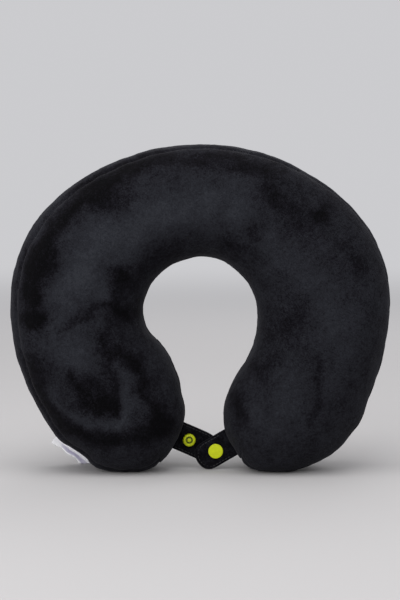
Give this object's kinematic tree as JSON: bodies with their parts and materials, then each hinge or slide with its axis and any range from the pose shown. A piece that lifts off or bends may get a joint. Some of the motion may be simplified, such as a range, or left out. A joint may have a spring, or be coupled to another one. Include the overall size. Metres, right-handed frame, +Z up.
{
  "type": "u shaped neck pillow",
  "caption": "U shaped travel neck pillow with a foam core, lining, zipped plush cover, two snap tabs at the throat and a folded care label.",
  "frame": {"origin": "on the floor under the middle of the pillow, standing on its two lobes", "axes": "+X to the right seen from the front, -Y towards the front, +Z up through the top of the arch"},
  "size_m": [0.32, 0.096, 0.276],
  "materials": {
    "plush": "short brushed pile",
    "foam": "open cell foam",
    "lining_knit": "fine knit",
    "zipper_tape": "woven tape",
    "zipper_coil": "moulded coil",
    "zipper_metal": "satin black enamel",
    "thread": "twisted thread",
    "snap_plastic": "glossy moulded plastic",
    "label_satin": "white satin ribbon"
  },
  "bodies": {
    "pillow": {"foam_core": "foam", "lining_front": "lining_knit", "lining_back": "lining_knit", "cover_front_panel": "plush", "cover_side_band": "plush", "cover_back_panel": "plush", "zipper_tape_front": "zipper_tape", "zipper_tape_back": "zipper_tape", "zipper_coil_front": "zipper_coil", "zipper_coil_back": "zipper_coil", "zipper_stop_left": "zipper_metal", "zipper_stop_right": "zipper_metal"},
    "slider": {"zipper_slider": "zipper_metal"},
    "pull": {"zipper_pull": "zipper_metal"},
    "left_tab": {"left_tab_front_ply": "plush", "left_tab_back_ply": "plush", "left_tab_stitching": "thread", "snap_socket": "snap_plastic", "socket_cap": "snap_plastic"},
    "right_tab": {"right_tab_front_ply": "plush", "right_tab_back_ply": "plush", "right_tab_stitching": "thread", "snap_stud": "snap_plastic", "stud_cap": "snap_plastic"},
    "label": {"care_label": "label_satin"}
  },
  "joints": [
    {"name": "zip_travel", "type": "hinge", "parent": "pillow", "child": "slider", "pos_m": [0, 0, 0.09423], "axis": [0, 1, 0], "range_deg": [-64.1, 0]},
    {"name": "pull_swing", "type": "hinge", "parent": "slider", "child": "pull", "pos_m": [0.09517, 0.0297, 0.24625], "axis": [0.2654, -0.866, 0.4238], "range_deg": [0, 150]},
    {"name": "left_tab_swing", "type": "hinge", "parent": "pillow", "child": "left_tab", "pos_m": [-0.01756, 0.004, 0.028], "axis": [0.2934, 0, 0.956], "range_deg": [0, 60]},
    {"name": "right_tab_swing", "type": "hinge", "parent": "pillow", "child": "right_tab", "pos_m": [0.02074, -0.004, 0.0203], "axis": [-0.4667, 0, 0.8844], "range_deg": [0, 60]},
    {"name": "label_flap", "type": "hinge", "parent": "pillow", "child": "label", "pos_m": [-0.11026, 0.028, 0.02076], "axis": [-0.7314, 0, 0.682], "range_deg": [-40, 40]}
  ]
}
